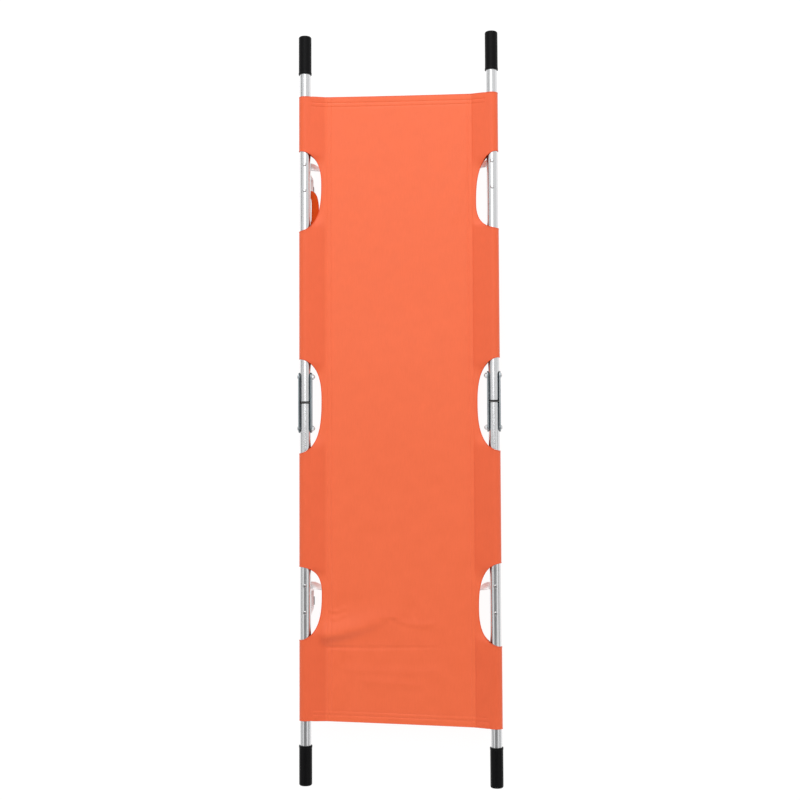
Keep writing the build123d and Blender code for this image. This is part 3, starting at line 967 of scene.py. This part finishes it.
def tie_loop():
    """The webbing loop beside the left head pole."""
    inner = curve_through([edge[0] for edge in LOOP_EDGES], 6)
    outer = curve_through([edge[1] for edge in LOOP_EDGES], 6)
    count = 9
    shares = np.linspace(0, 1, count)
    bulge = np.sin(shares * pi) * LOOP_BULGE
    points = inner[:, None] * (1 - shares[None, :, None]) + outer[:, None] * shares[None, :, None]
    points[..., 2] += bulge[None]
    reach = np.concatenate([[0], np.cumsum(np.linalg.norm(np.diff(inner, axis=0), axis=1))])
    flat = np.stack([np.tile(shares * LOOP_FLAT[0], len(inner)), np.repeat(reach, count)], axis=-1)
    tris = []
    for row in range(len(inner) - 1):
        for i in range(count - 1):
            a = row * count + i
            tris += [(a, a + 1, a + count), (a + 1, a + count + 1, a + count)]
    tris = np.array(tris)
    origin = np.array([0, FOLD_Y, AXIS_Z])
    middle = points.reshape(-1, 3) + origin
    if point_normals(middle, tris)[:, 2].mean() < 0:
        tris = tris[:, ::-1]
    parts = [shell(flat, tris, lambda a, b: middle, lambda p: np.full(len(p), LOOP_WEB))]
    for edge in (inner, outer):
        parts.append(tube(edge + origin, LOOP_WEB * 0.62, slot=0))
    obj = built("webbing_loop", parts, [webbing_material])
    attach(obj, "pole_left_head")
    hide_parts("tie_loop")
    return obj


loop = tie_loop()

# ---------------------------------------------------------------- floor, light and camera


FLOOR_REACH = 14.0
FLOOR_DROP = 0.0005  # keeps the floor just below the pads
FLOOR_TONE = 0.12
FLOOR_GLOW = 0.92
CARD_TONE = 0.24
CEILING = 4.3
# The light that the ceiling panels don't give: dimmer beyond the foot and brighter beyond the head.
SKY_AT_FOOT = 0.44
SKY_AT_HEAD = 0.85


def stage_plane(name, corners, tone, roughness, specular):
    """A flat backdrop of one grey, and its paint."""
    mesh = bpy.data.meshes.new(name)
    mesh.from_pydata(corners, [], [(0, 1, 2, 3)])
    obj = bpy.data.objects.new(name, mesh)
    scene.collection.objects.link(obj)
    paint = Paint(name, specular=specular)
    paint.shader.inputs["Base Color"].default_value = (tone, tone, tone, 1)
    paint.shader.inputs["Roughness"].default_value = roughness
    mesh.materials.append(paint.material)
    return obj, paint


def make_floor():
    """The pale floor, which glows so that it stays even and nearly free of shadows."""
    reach = FLOOR_REACH
    corners = [(-reach, -reach, 0), (reach, -reach, 0), (reach, reach, 0), (-reach, reach, 0)]
    floor, paint = stage_plane("floor", corners, FLOOR_TONE, 0.9, 0.1)
    floor.location.z = -FLOOR_DROP
    paint.shader.inputs["Emission Color"].default_value = (1, 1, 1, 1)
    paint.shader.inputs["Emission Strength"].default_value = FLOOR_GLOW


def panel(name, x, y, radiance):
    """A soft ceiling panel over a stretch of X and Y, of an even brightness."""
    light = bpy.data.lights.new(name, "AREA")
    light.shape = "RECTANGLE"
    light.size = x[1] - x[0]
    light.size_y = y[1] - y[0]
    light.energy = radiance * pi * light.size * light.size_y
    obj = bpy.data.objects.new(name, light)
    obj.location = ((x[0] + x[1]) / 2, (y[0] + y[1]) / 2, CEILING)
    scene.collection.objects.link(obj)


def dark_card(name, corners):
    """A dull dark card off camera, which the poles mirror as a streak."""
    card, _ = stage_plane(name, corners, CARD_TONE, 1.0, 0.0)
    card.visible_camera = False


def make_sky():
    world = bpy.data.worlds.new("studio")
    scene.world = world
    world.use_nodes = True
    tree = world.node_tree
    direction = tree.nodes.new("ShaderNodeTexCoord")
    split = tree.nodes.new("ShaderNodeSeparateXYZ")
    fade = tree.nodes.new("ShaderNodeMapRange")
    fade.interpolation_type = "SMOOTHSTEP"
    fade.inputs["From Min"].default_value = -0.10
    fade.inputs["From Max"].default_value = 0.10
    fade.inputs["To Min"].default_value = SKY_AT_FOOT
    fade.inputs["To Max"].default_value = SKY_AT_HEAD
    tree.nodes["Background"].inputs["Color"].default_value = (1.0, 1.0, 1.0, 1)
    tree.links.new(direction.outputs["Generated"], split.inputs["Vector"])
    tree.links.new(split.outputs["Y"], fade.inputs["Value"])
    tree.links.new(fade.outputs["Result"], tree.nodes["Background"].inputs["Strength"])


def make_camera():
    """A camera almost straight above the bed, a little to the right and towards the foot."""
    data = bpy.data.cameras.new("camera")
    data.lens = 61.07
    data.sensor_width = 36
    data.clip_end = 60
    camera = bpy.data.objects.new("camera", data)
    camera.location = (0.275, -0.1755, 3.787)
    camera.rotation_euler = Euler((radians(2.92), radians(4.25), radians(-0.25)))
    scene.collection.objects.link(camera)
    return camera


make_floor()
panel("head_panel", (-1.7, 1.0), (0.12, 3.4), 1.22)
panel("foot_panel_left", (-7.5, -3.3), (-3.8, 0.0), 0.60)
panel("foot_panel_right", (3.1, 7.2), (-3.8, 0.0), 0.60)
panel("far_foot_panel", (-3.2, 3.2), (-7.4, -4.2), 1.5)
panel("key_panel", (-3.2, 3.2), (3.8, 7.0), 4.2)
dark_card(
    "ceiling_gap",
    [(-1.75, -3.8, CEILING), (1.0, -3.8, CEILING), (1.0, 0.1, CEILING), (-1.75, 0.1, CEILING)],
)
dark_card("side_card", [(-6, -4, 0.7), (-6, 5, 0.7), (-6, 5, 2.4), (-6, -4, 2.4)])
make_sky()
scene.camera = make_camera()
scene.view_settings.view_transform = "Standard"
